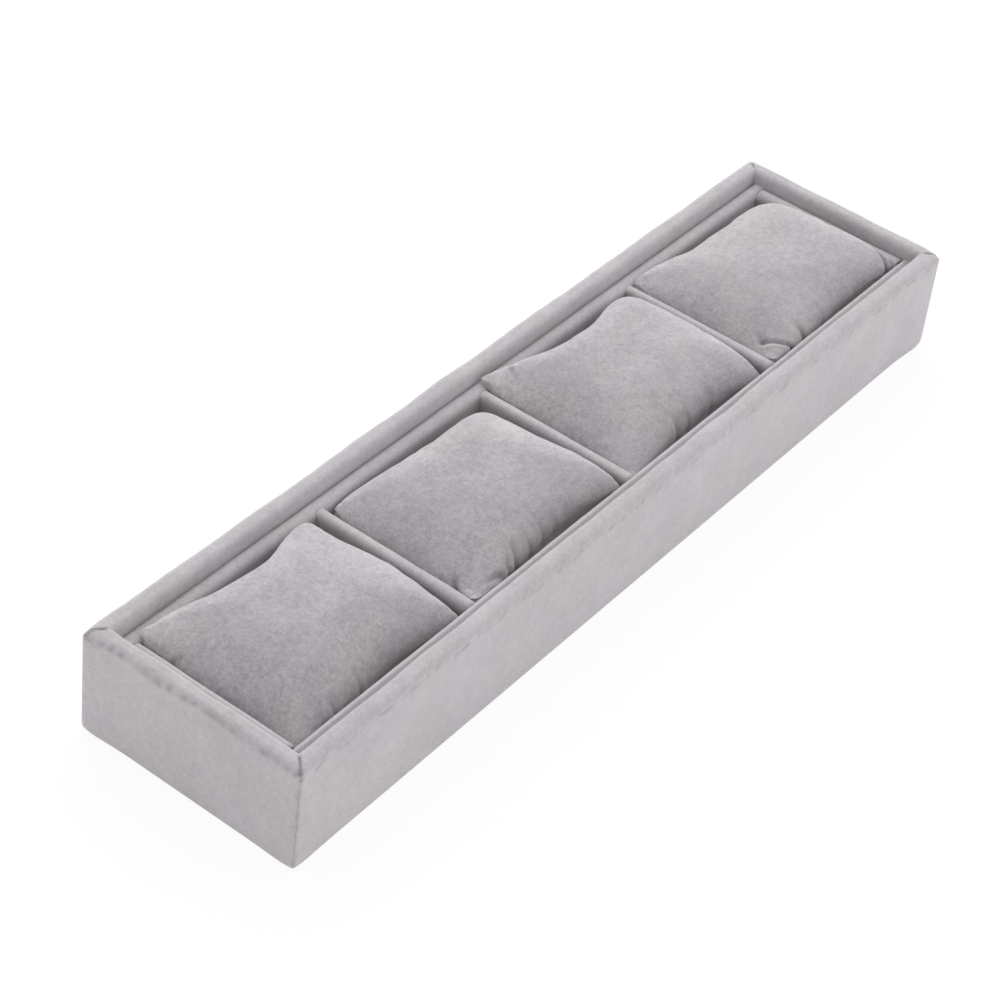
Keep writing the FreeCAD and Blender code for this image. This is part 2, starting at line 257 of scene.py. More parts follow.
def place_property(name, description, place):
    """A property that holds a place in the studio."""
    return FloatVectorProperty(
        name=name, description=description, subtype="TRANSLATION", unit="LENGTH", default=place)


# Painted slope shading: slopes facing the front left are painted darker and those facing the rear right
# lighter, standing in for the light.
SLOPE_SHADING_MEANING = "How much darker slopes are that look into the pile"


class VelvetSettings(bpy.types.PropertyGroup):
    """Sizes and colours of the velvet covers."""

    pile_shade: colour_property("Pile shade", "Velvet where its pile leans towards the eye", "#A8A4AA")
    pile_light: colour_property("Pile light", "Velvet where its pile leans away from the eye", "#BFBBBF")
    # Strength of the painted slope shading on the tray's velvet.
    slope_shading: share_property("Slope shading", SLOPE_SHADING_MEANING, 0.03)
    upright_radius: length_property("Upright edge", "Rounding of the tray's upright edges", 1.3)
    rim_outer_radius: length_property("Rim outer edge", "Rounding of the rim outside", 2.8)
    rim_inner_radius: length_property("Rim inner edge", "Rounding of the rim inside", 2.2)
    foot_radius: length_property("Foot edge", "Rounding of the lower edge", 0.9)
    liner_radius: length_property("Liner edge", "Rounding of the liner's top edges", 2.4)
    divider_radius: length_property("Divider edge", "Rounding of the dividers' top edges", 1.6)
    divider_overlap: length_property(
        "Divider overlap", "How far the dividers' velvet presses into the liner's", 0.5)
    # Painted shade: the velvet is painted darker from this far below the tops of the liner and the dividers,
    # standing in for the shade in the compartments.
    pressed_depth: length_property(
        "Pressed depth", "How far down in the compartments the pillows press the pile flat", 4.5)
    ripple: length_property("Ripple", "Unevenness of the velvet on its boards", 0.14)
    crease_depth: length_property("Crease depth", "Depth of the fold crease under the rim", 0.28)
    crease_width: length_property("Crease width", "Half the width of the fold crease under the rim", 1.1)
    foot_corner: length_property("Foot corner", "How far the lower corners are blunted", 0.5)
    mitre_depth: length_property("Mitre depth", "How far the velvet turns in along a mitre", 0.5)


class PillowSettings(bpy.types.PropertyGroup):
    """Sizes and colours of the pillows."""

    pile_shade: colour_property("Pile shade", "Velvet where its pile leans towards the eye", "#908B93")
    pile_light: colour_property("Pile light", "Velvet where its pile leans away from the eye", "#B6B1B5")
    # Strength of the painted slope shading on the pillows.
    slope_shading: share_property("Slope shading", SLOPE_SHADING_MEANING, 0.22)
    clearance: length_property("Clearance", "Room between a pillow and its compartment", 0.3)
    crown_level: length_property("Crown level", "Height of a pillow's crown above the table", 45.6)
    seam_level: length_property("Seam level", "Height of the side seam above the table", 26.4)
    corner_radius: length_property("Corner radius", "Rounding of the sewn corners", 2.6)
    seam_depth: length_property("Seam depth", "How far the seam draws the velvet in", 0.6)
    swell: length_property("Swell", "Most that the filling may move the velvet", 1.2)
    crown_wrinkle: share_property("Crown wrinkle", "Share of the wrinkles left on the crown", 0.10)
    edge_wrinkle: share_property("Edge wrinkle", "Share of the wrinkles left near the seam", 0.45)


class StageSettings(bpy.types.PropertyGroup):
    """Camera and light of the studio."""

    lens: FloatProperty(
        name="Lens", description="Focal length on a 36 mm sensor", unit="CAMERA", default=99.33)
    camera_place: place_property(
        "Camera place", "Where the camera stands", (-646.06 * MM, -393.28 * MM, 654.40 * MM))
    camera_turn: FloatVectorProperty(
        name="Camera turn", description="How the camera is turned", subtype="EULER", unit="ROTATION",
        default=[math.radians(a) for a in (49.0472, -6.0374, -52.2098)])
    sky_strength: FloatProperty(name="Sky", description="Strength of the even white surround", default=0.8)
    softbox_power: FloatProperty(
        name="Softbox", description="Power of the softbox", unit="POWER", default=17.0)
    softbox_place: place_property(
        "Softbox place", "Where the softbox hangs, to the rear right of the tray", (1.05, 1.2, 1.75))
    fill_power: FloatProperty(
        name="Fill light", description="Power of the fill light", unit="POWER", default=3.6)
    fill_place: place_property(
        "Fill place", "Where the fill light hangs, to the front right of the tray", (1.1, -1.3, 0.85))


def add_node(tree, kind, inputs=(), **settings):
    """Add a node with its settings, and fill its inputs with values or links."""
    node = tree.nodes.new(kind)
    for key, value in settings.items():
        setattr(node, key, value)
    for key, value in dict(inputs).items():
        if isinstance(value, bpy.types.NodeSocket):
            tree.links.new(value, node.inputs[key])
        else:
            node.inputs[key].default_value = value
    return node


def fresh_material(name):
    """An empty node material and its output node."""
    material = bpy.data.materials.new(name)
    material.use_nodes = True
    material.node_tree.nodes.clear()
    return material, material.node_tree, add_node(material.node_tree, "ShaderNodeOutputMaterial")


def maths(tree, operation, *values):
    """Output of a maths node."""
    return add_node(tree, "ShaderNodeMath", dict(enumerate(values)), operation=operation).outputs[0]


def noise(tree, vector, seed, size, detail, **shape):
    """Output of seeded noise whose bumps are about as wide as a size."""
    inputs = {"Vector": vector, "W": seed, "Scale": 1 / size, "Detail": detail, **shape}
    return add_node(tree, "ShaderNodeTexNoise", inputs, noise_dimensions="4D").outputs["Fac"]


def remapped(tree, value, given, wanted=(0.0, 1.0), **settings):
    """Output that takes a value from one range to another."""
    inputs = {
        "Value": value, "From Min": given[0], "From Max": given[1], "To Min": wanted[0], "To Max": wanted[1]}
    return add_node(tree, "ShaderNodeMapRange", inputs, **settings).outputs["Result"]


def mixed(tree, share, first, second, **settings):
    """Output that mixes two colours."""
    inputs = {"Factor": share, "A": first, "B": second}
    return add_node(tree, "ShaderNodeMix", inputs, data_type="RGBA", **settings).outputs["Result"]


def bumped(tree, height, strength, depth, **below):
    """Output of a surface's normal with a relief on it."""
    inputs = {"Height": height, "Strength": strength, "Distance": depth, **below}
    return add_node(tree, "ShaderNodeBump", inputs).outputs["Normal"]


class Grain(NamedTuple):
    """One scale of the velvet's mottling: its size, its weight in the colour, and its relief."""

    size: float
    detail: float
    weight: float
    strength: float = 0.0
    relief: float = 0.0


PATCHES = Grain(22 * MM, 3.0, 2.4)
STROKES = Grain(5 * MM, 3.0, 1.5, 0.12, 0.4 * MM)
TUFTS = Grain(1.9 * MM, 1.0, 1.7, 0.32, 0.35 * MM)
# The pile itself, 0.1 mm fibres, is too fine to show, so its tufts are drawn about 0.9 mm wide.
PILE = Grain(0.9 * MM, 1.0, 2.6, 0.38, 0.25 * MM)
STROKE_TURN, STROKE_STRETCH = (0.4, 0.3, 0.9), (1.0, 1.8, 1.3)
MOTTLE_START, MOTTLE_RANGE = -1.2, (2.0, 3.8)
HUE_SIZE, HUE_RANGE = 30 * MM, (0.36, 0.64)
COOL_TINT, WARM_TINT, SHEEN_TINT = "#FDFAFF", "#FFFDF7", "#FFFDFF"
# Slopes over which the painted slope shading turns from painted shade to painted light, and its shares of the
# darkening and the lightening.
SLOPE_SHADING_RANGE, SLOPE_DARKENING, SLOPE_LIGHTENING = (-0.1, 0.14), 0.5, 1.1
# How much darker the painted shade makes the velvet where its attribute is one.
PAINTED_SHADE_DARKNESS = 0.52


def velvet_material(name, shade, light, slope_shading, seed):
    """Short-pile polyester velvet: matt, dark looked into and pale along its slopes, with a fuzzy grain.

    Slopes that face the front left are painted darker and those that face the rear right lighter: painted
    shade and painted light, standing in for the light from the rear right. Painted shade from its attribute
    darkens it in folds, creases, mitres and down in the compartments; below nought the attribute paints light
    instead.
    """
    material, tree, output = fresh_material(name)
    coords = add_node(tree, "ShaderNodeTexCoord").outputs
    place = coords["Object"]
    slant = add_node(tree, "ShaderNodeMapping", {
        "Vector": place, "Rotation": STROKE_TURN, "Scale": STROKE_STRETCH}).outputs["Vector"]
    patches = noise(tree, place, seed, PATCHES.size, PATCHES.detail, Roughness=0.55, Distortion=0.5)
    strokes = noise(tree, slant, seed + 3, STROKES.size, STROKES.detail)
    tufts = noise(tree, place, seed + 5, TUFTS.size, TUFTS.detail)
    pile = noise(tree, place, seed + 7, PILE.size, PILE.detail)
    hue = noise(tree, place, seed + 11, HUE_SIZE, 2.0)
    grains = ((patches, PATCHES), (strokes, STROKES), (tufts, TUFTS), (pile, PILE))
    mottle = MOTTLE_START
    for value, grain in grains:
        mottle = maths(tree, "MULTIPLY_ADD", value, grain.weight, mottle)
    shades = mixed(tree, remapped(tree, mottle, MOTTLE_RANGE), (*shade, 1), (*light, 1))
    tint = mixed(tree, remapped(tree, hue, HUE_RANGE), (*linear(COOL_TINT), 1), (*linear(WARM_TINT), 1))
    tinted = mixed(tree, 1.0, shades, tint, blend_type="MULTIPLY")
    # Painted slope shading: slopes that face the rear right are painted lighter and the front left darker,
    # standing in for the light from the rear right.
    facing = add_node(tree, "ShaderNodeVectorMath", {
        0: coords["Normal"], 1: LIT_SLOPE_WAY}, operation="DOT_PRODUCT").outputs["Value"]
    slope_shading_factor = remapped(
        tree, facing, SLOPE_SHADING_RANGE, (1 - SLOPE_DARKENING * slope_shading, 1 + SLOPE_LIGHTENING * slope_shading), interpolation_type="SMOOTHSTEP")
    # Painted shade from the attribute darkens the colour, and with the painted slope shading sets how dark it
    # is.
    pressed = add_node(tree, "ShaderNodeAttribute", attribute_name=PAINTED_SHADE_NAME).outputs["Fac"]
    unshaded_share = maths(tree, "MULTIPLY_ADD", pressed, -PAINTED_SHADE_DARKNESS, 1.0)
    depth = maths(tree, "MULTIPLY", slope_shading_factor, unshaded_share)
    colour = add_node(tree, "ShaderNodeVectorMath", {0: tinted, "Scale": depth}, operation="SCALE").outputs[0]
    relief = {}
    for value, grain in grains[1:]:
        relief = {"Normal": bumped(tree, value, grain.strength, grain.relief, **relief)}
    cloth = add_node(tree, "ShaderNodeBsdfPrincipled", {
        "Base Color": colour, "Roughness": remapped(tree, strokes, (0.0, 1.0), (0.9, 1.0)), **relief,
        "Specular IOR Level": 0.1, "Sheen Weight": 0.72, "Sheen Roughness": 0.7,
        "Sheen Tint": (*linear(SHEEN_TINT), 1)})
    tree.links.new(cloth.outputs["BSDF"], output.inputs["Surface"])
    return material


def fibre_material(name, ground, fleck, fibre, relief, turn, seed):
    """Pressed fibre sheet or board: a matt ground with short flecks lying along one direction."""
    material, tree, output = fresh_material(name)
    coords = add_node(tree, "ShaderNodeTexCoord").outputs["Object"]
    laid = add_node(tree, "ShaderNodeMapping", {
        "Vector": coords, "Rotation": (0, 0, turn), "Scale": (0.25, 1.0, 1.0)}).outputs["Vector"]
    fibres = noise(tree, laid, seed, fibre, 4.0, Roughness=0.65)
    clouds = noise(tree, coords, seed + 1, 20 * fibre, 2.0)
    flecks = remapped(tree, maths(tree, "MULTIPLY_ADD", clouds, 0.4, fibres), (0.45, 0.95))
    sheet = add_node(tree, "ShaderNodeBsdfPrincipled", {
        "Base Color": mixed(tree, flecks, (*linear(ground), 1), (*linear(fleck), 1)),
        "Roughness": remapped(tree, fibres, (0.0, 1.0), (0.75, 0.95)),
        "Normal": bumped(tree, fibres, 0.4, relief), "Specular IOR Level": 0.25})
    tree.links.new(sheet.outputs["BSDF"], output.inputs["Surface"])
    return material


def ripple(points, size, seed):
    """Smooth seeded unevenness over points, about one high, its waves about as long as a size."""
    chance = np.random.default_rng(seed)
    total = np.zeros(points.shape[:-1])
    waves = 14
    for _ in range(waves):
        way = chance.normal(size=points.shape[-1])
        way *= 2 * math.pi / size * chance.uniform(0.6, 1.4) / np.linalg.norm(way)
        total += np.sin(points @ way + chance.uniform(0, 2 * math.pi))
    return np.clip(total / math.sqrt(waves / 2), -2, 2)


def ripples(points, waves, seed):
    """Sum of unevennesses of several heights and sizes."""
    return sum(height * ripple(points, size, seed + k) for k, (height, size) in enumerate(waves))


def bell(distance, reach):
    """Share that is one at no distance and fades out past a reach."""
    return np.exp(-(distance / reach) ** 2)


def ramp(value, start, end):
    """Share that goes from nought at a start to one at an end."""
    return np.clip((value - start) / (end - start), 0, 1)


def grid_normals(grid):
    """Unit normals of a grid of points, rows by columns."""
    down = np.gradient(grid, axis=0)
    across = np.gradient(grid, axis=1)
    normals = np.cross(across, down)
    return normals / np.maximum(np.linalg.norm(normals, axis=-1, keepdims=True), TINY)


def make_piece(name, points, faces, material, pressed=None):
    """A smooth mesh object at the origin, with its painted shade at each point."""
    mesh = bpy.data.meshes.new(name)
    mesh.from_pydata(points.tolist(), [], [tuple(face) for face in faces])
    if pressed is not None:
        mesh.attributes.new(PAINTED_SHADE_NAME, "FLOAT", "POINT").data.foreach_set("value", pressed)
    mesh.polygons.foreach_set("use_smooth", [True] * len(mesh.polygons))
    mesh.materials.append(material)
    mesh.update()
    piece = bpy.data.objects.new(name, mesh)
    bpy.context.scene.collection.objects.link(piece)
    return piece


def grid_quads(index):
    """Faces of a grid of point numbers."""
    return np.stack([index[:-1, :-1], index[:-1, 1:], index[1:, 1:], index[1:, :-1]], -1).reshape(-1, 4)


def grid_edge(index):
    """Point numbers round the edge of a grid, in order."""
    return np.concatenate([index[0, :-1], index[:-1, -1], index[-1, :0:-1], index[:0:-1, 0]])


def shell_of(face_grid, back_grid):
    """Points and faces of a closed thin sheet between two grids that match."""
    rows, columns = face_grid.shape[:2]
    count = rows * columns
    points = np.concatenate([face_grid.reshape(-1, 3), back_grid.reshape(-1, 3)])
    index = np.arange(count).reshape(rows, columns)
    front, edge = grid_quads(index), grid_edge(index)
    following = np.roll(edge, -1)
    sides = np.stack([following, edge, edge + count, following + count], -1)
    faces = np.concatenate([front, front[:, ::-1] + count, sides])
    corners = points[faces]
    areas = np.cross(corners[:, 2] - corners[:, 0], corners[:, 3] - corners[:, 1])
    if (corners.mean(1) * areas).sum() < 0:
        faces = faces[:, ::-1]
    return points, faces


def turned_arc(inset, level, radius, start, end, count):
    """Points of a rounding about a centre, by angle from the way inwards towards the way up."""
    angles = np.radians(np.linspace(start, end, count))
    return np.stack([inset + radius * np.cos(angles), level + radius * np.sin(angles)], -1)


def run(inset_a, level_a, inset_b, level_b, count):
    """Points of a straight stretch of a section."""
    return np.stack([np.linspace(inset_a, inset_b, count), np.linspace(level_a, level_b, count)], -1)


# Level from which the rows of a wall cover lie closer, and how far its velvet shows below the liner's top.
CLOSE_ROWS = 37 * MM
SHOWN_BELOW = 3 * MM


def wall_section(velvet):
    """Inset and level of a wall cover's section, from its hem up the wall, over the rim and down inside."""
    top = TRAY_HIGH[2]
    foot, outer, inner = velvet.foot_radius, velvet.rim_outer_radius, velvet.rim_inner_radius
    stretches = (
        run(HEM, 0, foot, 0, 7),
        turned_arc(foot, foot, foot, 270, 180, 6),
        run(0, foot, 0, CLOSE_ROWS, 20),
        run(0, CLOSE_ROWS, 0, top - outer, 16),
        turned_arc(outer, top - outer, outer, 180, 90, 14),
        run(outer, top, RIM - inner, top, 5),
        turned_arc(RIM - inner, top - inner, inner, 90, 0, 10),
        run(RIM, top - inner, RIM, LINER_TOP - SHOWN_BELOW, 9),
        run(RIM, LINER_TOP - SHOWN_BELOW, RIM, BASE_TOP, 5),
    )
    return np.concatenate([stretch if k == 0 else stretch[1:] for k, stretch in enumerate(stretches)])


# Columns of a wall cover near a mitre, as distances in millimetres from it.
MITRE_COLUMNS = MM * np.array((
    0, 0.15, 0.32, 0.52, 0.76, 1.05, 1.4, 1.8, 2.3, 2.9, 3.6, 4.5, 5.6, 7, 8.7, 10.6, 12.8, 15.2, 17.6, 20))
COLUMN_SPACING = 2 * MM


def wall_outline(inset, half_length, upright):
    """Places along a side and insets of one row of its cover, and the way from each to the nearer mitre."""
    reach = MITRE_COLUMNS[-1]
    radius = max(upright - inset, 0)
    arc = radius * math.pi / 4
    start = max(upright, inset)
    way = MITRE_COLUMNS / reach * (arc + reach - start)
    angle = math.pi / 4 - np.minimum(way, arc) / max(radius, TINY)
    end_places = half_length - start + radius * np.sin(angle) - np.maximum(way - arc, 0)
    end_insets = start - radius * np.cos(angle)
    middle_count = int(round(2 * (half_length - reach) / COLUMN_SPACING))
    middle = np.linspace(-(half_length - reach), half_length - reach, middle_count + 1)[1:-1]
    places = np.concatenate([-end_places, middle, end_places[::-1]])
    insets = np.concatenate([end_insets, np.full(len(middle), inset), end_insets[::-1]])
    ways = np.concatenate([way, np.full(len(middle), reach), way[::-1]])
    return places, insets, ways


# Levels between which the velvet comes free of the table, and above the liner of the rim's inner face.
FREE_LEVELS = (1 * MM, 6 * MM)
FREE_INSIDE = (LINER_TOP, LINER_TOP + 3 * MM)
# Waves of the wall velvet, of the crease's level and of its strength, as heights and sizes.
WALL_WAVES = ((1.0, 34 * MM), (0.35, 9 * MM))
CREASE_WANDER = ((0.40 * MM, 26 * MM), (0.16 * MM, 6 * MM))
CREASE_FADING = ((0.3, 14 * MM), (0.35, 4.5 * MM))
CREASE_STRENGTH, CREASE_MOST, CREASE_FROM = 0.5, 1.2, 30 * MM
ROLL_RISE, ROLL_WIDTH, ROLL_HEIGHT = 1.6 * MM, 0.9 * MM, 0.15
# How far from a mitre the velvet is drawn flat, stands out, turns in, gapes, dips and is blunted.
FLAT_REACH, LEAN_REACH, TURN_REACH = 4 * MM, 12 * MM, 0.8 * MM
GAPE_REACH, DIP_REACH, BLUNT_REACH = 0.9 * MM, 5 * MM, 3 * MM
# A mitre gapes from the outer edge of the rim to about two thirds across it.
GAPE_LEVELS, GAPE_INSETS = (42.5 * MM, 42.9 * MM), (0.78 * RIM, 0.66 * RIM)
LEAN_INSET, DIP_INSET, DIP_LEVELS, BLUNT_HEIGHT = 3 * MM, 5 * MM, (CLOSE_ROWS, 42 * MM), 2.5 * MM
MITRE_COSINE = 0.7
# Painted shade in the crease, in a mitre and in patches along the upright edges, standing in for the shade
# there, and the size of those patches.
CREASE_SHADE, MITRE_SHADE, EDGE_SHADE, EDGE_SHADE_SIZE = 0.6, 1.4, 0.3, 6 * MM


def rim_crease(side, velvet, places, levels, seed):
    """How strong the fold crease under the rim is at each point, and the soft roll above it."""
    along = places[..., None]
    above = levels - side.crease_level - ripples(along, CREASE_WANDER, seed)
    strength = CREASE_STRENGTH + ripples(along, CREASE_FADING, seed + 2)
    crease = np.clip(strength, 0, CREASE_MOST) * bell(above, velvet.crease_width)
    return crease, bell(above - ROLL_RISE, ROLL_WIDTH)


def wall_grids(side, velvet):
    """Face and back of one wall's velvet, turned in at its mitres, and where it is painted with shade."""
    section = wall_section(velvet)
    rows = [wall_outline(inset, side.half_length, velvet.upright_radius) for inset, _ in section]
    places, insets, ways = (np.array([row[k] for row in rows]) for k in range(3))
    outward, along = np.array(side.outward, float), np.array(side.along, float)
    inset, levels = (np.broadcast_to(section[:, k:k + 1], places.shape) for k in range(2))
    base = places[..., None] * along + levels[..., None] * UP
    base = base + (side.half_depth - insets)[..., None] * outward
    normals = grid_normals(base)
    middle_row, column_count = len(section) // 3, places.shape[1]
    if normals[middle_row, column_count // 2] @ outward < 0:
        normals = -normals
    is_inside = inset > RIM - velvet.rim_inner_radius
    free = np.where(is_inside, ramp(levels, *FREE_INSIDE), ramp(levels, *FREE_LEVELS))
    seed = sum(map(ord, side.name))
    is_creased = (inset < velvet.rim_outer_radius) & (levels > CREASE_FROM)
    crease, roll = rim_crease(side, velvet, places, levels, seed + 2)
    crease = np.where(is_creased, crease, 0)
    proud = velvet.ripple * ripples(base, WALL_WAVES, seed) - velvet.crease_depth * crease
    proud = proud + velvet.crease_depth * ROLL_HEIGHT * np.where(is_creased, roll, 0)
    is_first = np.arange(column_count) < column_count // 2
    before = next(corner for corner in CORNERS if corner.end == side.name)
    after = next(corner for corner in CORNERS if corner.start == side.name)
    slit, foot_lean, rim_lean, dip = (np.where(is_first, *pair) for pair in zip(before[2:], after[2:]))
    lean = (foot_lean + (rim_lean - foot_lean) * levels / TRAY_HIGH[2]) * bell(ways, LEAN_REACH)
    lean = lean * ramp(inset, LEAN_INSET, 0)
    out = normals[middle_row]
    lean = (lean / np.maximum(out @ outward, MITRE_COSINE))[..., None] * out
    gapes = ramp(levels, *GAPE_LEVELS) * ramp(inset, *GAPE_INSETS)
    turned_in = bell(ways, TURN_REACH) * gapes
    proud = proud * (1 - bell(ways, FLAT_REACH)) - velvet.mitre_depth * turned_in
    blunt = velvet.foot_corner * bell(ways, BLUNT_REACH) * ramp(levels, BLUNT_HEIGHT, 0)
    proud = proud * free - np.where(is_inside, 0, blunt)
    away = np.gradient(base, axis=1)
    away /= np.linalg.norm(away, axis=-1, keepdims=True)
    away = np.where(is_first[None, :, None], away, -away)
    gape = (slit * gapes * bell(ways, GAPE_REACH) * free)[..., None] * away
    face = base + proud[..., None] * normals + lean + gape
    face[..., 2] -= dip * bell(ways, DIP_REACH) * ramp(levels, *DIP_LEVELS) * ramp(inset, DIP_INSET, 0)
    back = base - VELVET * normals + gape
    # Painted shade: patches along the upright edges, the crease under the rim and the mitre grooves are
    # painted darker.
    edge_shade = np.clip(ripple(levels[..., None], EDGE_SHADE_SIZE, seed + 6), 0, 1) * bell(ways, GAPE_REACH)
    pressed = CREASE_SHADE * crease + MITRE_SHADE * turned_in
    pressed = pressed + EDGE_SHADE * np.where(is_inside, 0, edge_shade)
    return face, back, np.concatenate([np.clip(pressed, 0, 1).ravel(), np.zeros(pressed.size)])


class CoverWalls(bpy.types.Operator):
    """Wrap the four walls in mitred velvet"""

    bl_idname = "jewelry_tray.cover_walls"
    bl_label = "Cover walls"

    def execute(self, context):
        velvet = context.scene.tray_velvet
        material = bpy.data.materials["short-pile velvet"]
        for side in SIDES:
            face, back, pressed = wall_grids(side, velvet)
            piece = make_piece(side.node.replace("cover", "velvet"), *shell_of(face, back), material, pressed)
            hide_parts(side.node)
            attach(piece, "tray")
        return {"FINISHED"}


FOLD_INPUTS = {
    "NodeSocketFloat": (
        "Length", "Thickness", "Height", "Edge radius", "Ripple", "Ripple size", "Seed", "Pressed side",
        "Pressed from", "Pressed depth"),
    "NodeSocketInt": ("Columns", "Rows"),
    "NodeSocketMaterial": ("Material",),
}
# Share of the strip's spread that its straight sides get, and the height of its noise.
ROW_SPREAD, RIPPLE_SPAN = 0.78, 4.0
# Where the painted shade on the liner's shoulder and down the sides fades in, and how dark it is painted.
SHOULDER_FADE, SUNK_START = 0.16, 0.2
SHOULDER_SHADE, SUNK_SHADE = 0.75, 0.85


def fold_tree():
    """Geometry nodes that fold a flat strip of velvet over the top of an upright board."""
    tree = bpy.data.node_groups.new("velvet folded over a board", "GeometryNodeTree")
    sockets = {
        name: tree.interface.new_socket(name, in_out="INPUT", socket_type=kind)
        for kind, names in FOLD_INPUTS.items() for name in names
    }
    tree.interface.new_socket("Geometry", in_out="OUTPUT", socket_type="NodeSocketGeometry")
    given = add_node(tree, "NodeGroupInput").outputs

    def sum_of(operation, *values):
        return maths(tree, operation, *values)

    strip = add_node(tree, "GeometryNodeMeshGrid", {
        "Size X": given["Length"], "Size Y": 2.0,
        "Vertices X": given["Columns"], "Vertices Y": given["Rows"]}).outputs["Mesh"]
    position = add_node(tree, "GeometryNodeInputPosition").outputs[0]
    place = add_node(tree, "ShaderNodeSeparateXYZ", {0: position}).outputs
    radius = given["Edge radius"]
    flat = sum_of("SUBTRACT", sum_of("MULTIPLY", given["Thickness"], 0.5), radius)
    bend_end = sum_of("MULTIPLY_ADD", radius, math.pi / 2, flat)
    reach = sum_of("ADD", bend_end, sum_of("SUBTRACT", given["Height"], radius))
    from_middle = sum_of("ABSOLUTE", place["Y"])
    # Rows lie closer together over the top of the board, where the strip bends.
    square = sum_of("MULTIPLY", from_middle, from_middle)
    closeness = sum_of("MULTIPLY_ADD", square, ROW_SPREAD, 1 - ROW_SPREAD)
    run_down = sum_of("MULTIPLY", sum_of("MULTIPLY", from_middle, closeness), reach)
    bend = sum_of("DIVIDE", sum_of("SUBTRACT", run_down, flat), radius)
    bend = sum_of("MINIMUM", sum_of("MAXIMUM", bend, 0.0), math.pi / 2)
    across = sum_of("MULTIPLY_ADD", sum_of("SINE", bend), radius, sum_of("MINIMUM", run_down, flat))
    across = sum_of("MULTIPLY", across, sum_of("SIGN", place["Y"]))
    drop = sum_of("MULTIPLY", radius, sum_of("SUBTRACT", 1.0, sum_of("COSINE", bend)))
    level = sum_of("SUBTRACT", given["Height"], drop)
    level = sum_of("SUBTRACT", level, sum_of("MAXIMUM", sum_of("SUBTRACT", run_down, bend_end), 0.0))
    folded = add_node(tree, "ShaderNodeCombineXYZ", {0: place["X"], 1: across, 2: level}).outputs[0]
    uneven = add_node(tree, "ShaderNodeTexNoise", {
        "Vector": position, "W": given["Seed"], "Scale": sum_of("DIVIDE", 1.0, given["Ripple size"]),
        "Detail": 1.0}, noise_dimensions="4D").outputs["Fac"]
    span = sum_of("MULTIPLY", given["Ripple"], RIPPLE_SPAN)
    lift = add_node(tree, "ShaderNodeVectorMath", {
        0: add_node(tree, "GeometryNodeInputNormal").outputs[0],
        "Scale": sum_of("MULTIPLY", sum_of("SUBTRACT", uneven, 0.5), span)}, operation="SCALE").outputs[0]
    # Painted shade where the shoulder of the fold meets the rim, and down in the compartments, standing in
    # for the shade between the parts and in the recesses.
    shoulder = sum_of("DIVIDE", sum_of("MULTIPLY", place["Y"], given["Pressed side"]), given["Thickness"])
    shoulder_range = given["Pressed from"], sum_of("ADD", given["Pressed from"], SHOULDER_FADE)
    sunk = sum_of("SUBTRACT", given["Height"], place["Z"])
    sunk_range = sum_of("MULTIPLY", given["Pressed depth"], SUNK_START), given["Pressed depth"]
    pressed = sum_of(
        "MAXIMUM",
        remapped(tree, shoulder, shoulder_range, (0.0, SHOULDER_SHADE), interpolation_type="SMOOTHSTEP"),
        remapped(tree, sunk, sunk_range, (0.0, SUNK_SHADE), interpolation_type="SMOOTHSTEP"))
    geometry = strip
    for kind, inputs, settings in (
        ("SetPosition", {"Position": folded}, {}),
        ("SetPosition", {"Offset": lift}, {}),
        ("StoreNamedAttribute", {"Name": PAINTED_SHADE_NAME, "Value": pressed}, {"data_type": "FLOAT"}),
        ("SetShadeSmooth", {}, {}),
        ("RealizeInstances", {}, {}),
        ("SetMaterial", {"Material": given["Material"]}, {}),
    ):
        step = add_node(tree, f"GeometryNode{kind}", {"Geometry": geometry, **inputs}, **settings)
        geometry = step.outputs["Geometry"]
    add_node(tree, "NodeGroupOutput", {"Geometry": geometry})
    return tree, sockets


def bake(piece):
    """Turn a piece's modifiers into its own mesh."""
    evaluated = piece.evaluated_get(bpy.context.evaluated_depsgraph_get())
    mesh = bpy.data.meshes.new_from_object(evaluated)
    piece.modifiers.clear()
    piece.data = mesh
    mesh.name = piece.name


FOLD_RIPPLE_SIZE = 14 * MM
FOLD_ROWS = 73


def folded_velvet(tree, sockets, node, radius, overlap, pressed, velvet, seed):
    """Fold velvet over the board that a node covers, bake it and set it in its place."""
    low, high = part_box(node)
    size = high - low
    is_along = size.x > size.y
    length, thickness = (size.x, size.y) if is_along else (size.y, size.x)
    length += 2 * overlap
    name = node.replace("cover", "velvet")
    piece = bpy.data.objects.new(name, bpy.data.meshes.new(name))
    bpy.context.scene.collection.objects.link(piece)
    values = {
        "Length": length, "Thickness": thickness, "Height": size.z, "Edge radius": radius,
        "Ripple": velvet.ripple, "Ripple size": FOLD_RIPPLE_SIZE,
        "Columns": int(length / COLUMN_SPACING) + 1, "Rows": FOLD_ROWS,
        "Seed": float(seed), "Pressed side": pressed[0], "Pressed from": pressed[1],
        "Pressed depth": velvet.pressed_depth, "Material": bpy.data.materials["short-pile velvet"],
    }
    fold = piece.modifiers.new("fold", "NODES")
    fold.node_group = tree
    for key, value in values.items():
        fold[sockets[key].identifier] = value
    thicken = piece.modifiers.new("thickness", "SOLIDIFY")
    thicken.thickness = VELVET
    thicken.offset = -1
    bake(piece)
    turn = Matrix.Rotation(0 if is_along else math.pi / 2, 4, "Z")
    middle = Vector(((low.x + high.x) / 2, (low.y + high.y) / 2, low.z))
    piece.data.transform(Matrix.Translation(middle) @ turn)
    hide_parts(node)
    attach(piece, "tray")


# Side on which each liner leans on the rim, and how far across it from there it is painted with shade.
LINER_SHADE = {"front": (-1.0, -0.2), "right": (-1.0, 0.12), "rear": (1.0, 0.12), "left": (1.0, -0.08)}
# A divider leans on nothing, so it gets no painted shade on its shoulders, only down in the compartments.
DIVIDER_SHADE = (0.0, 0.5)
DIVIDER_SEED = 20


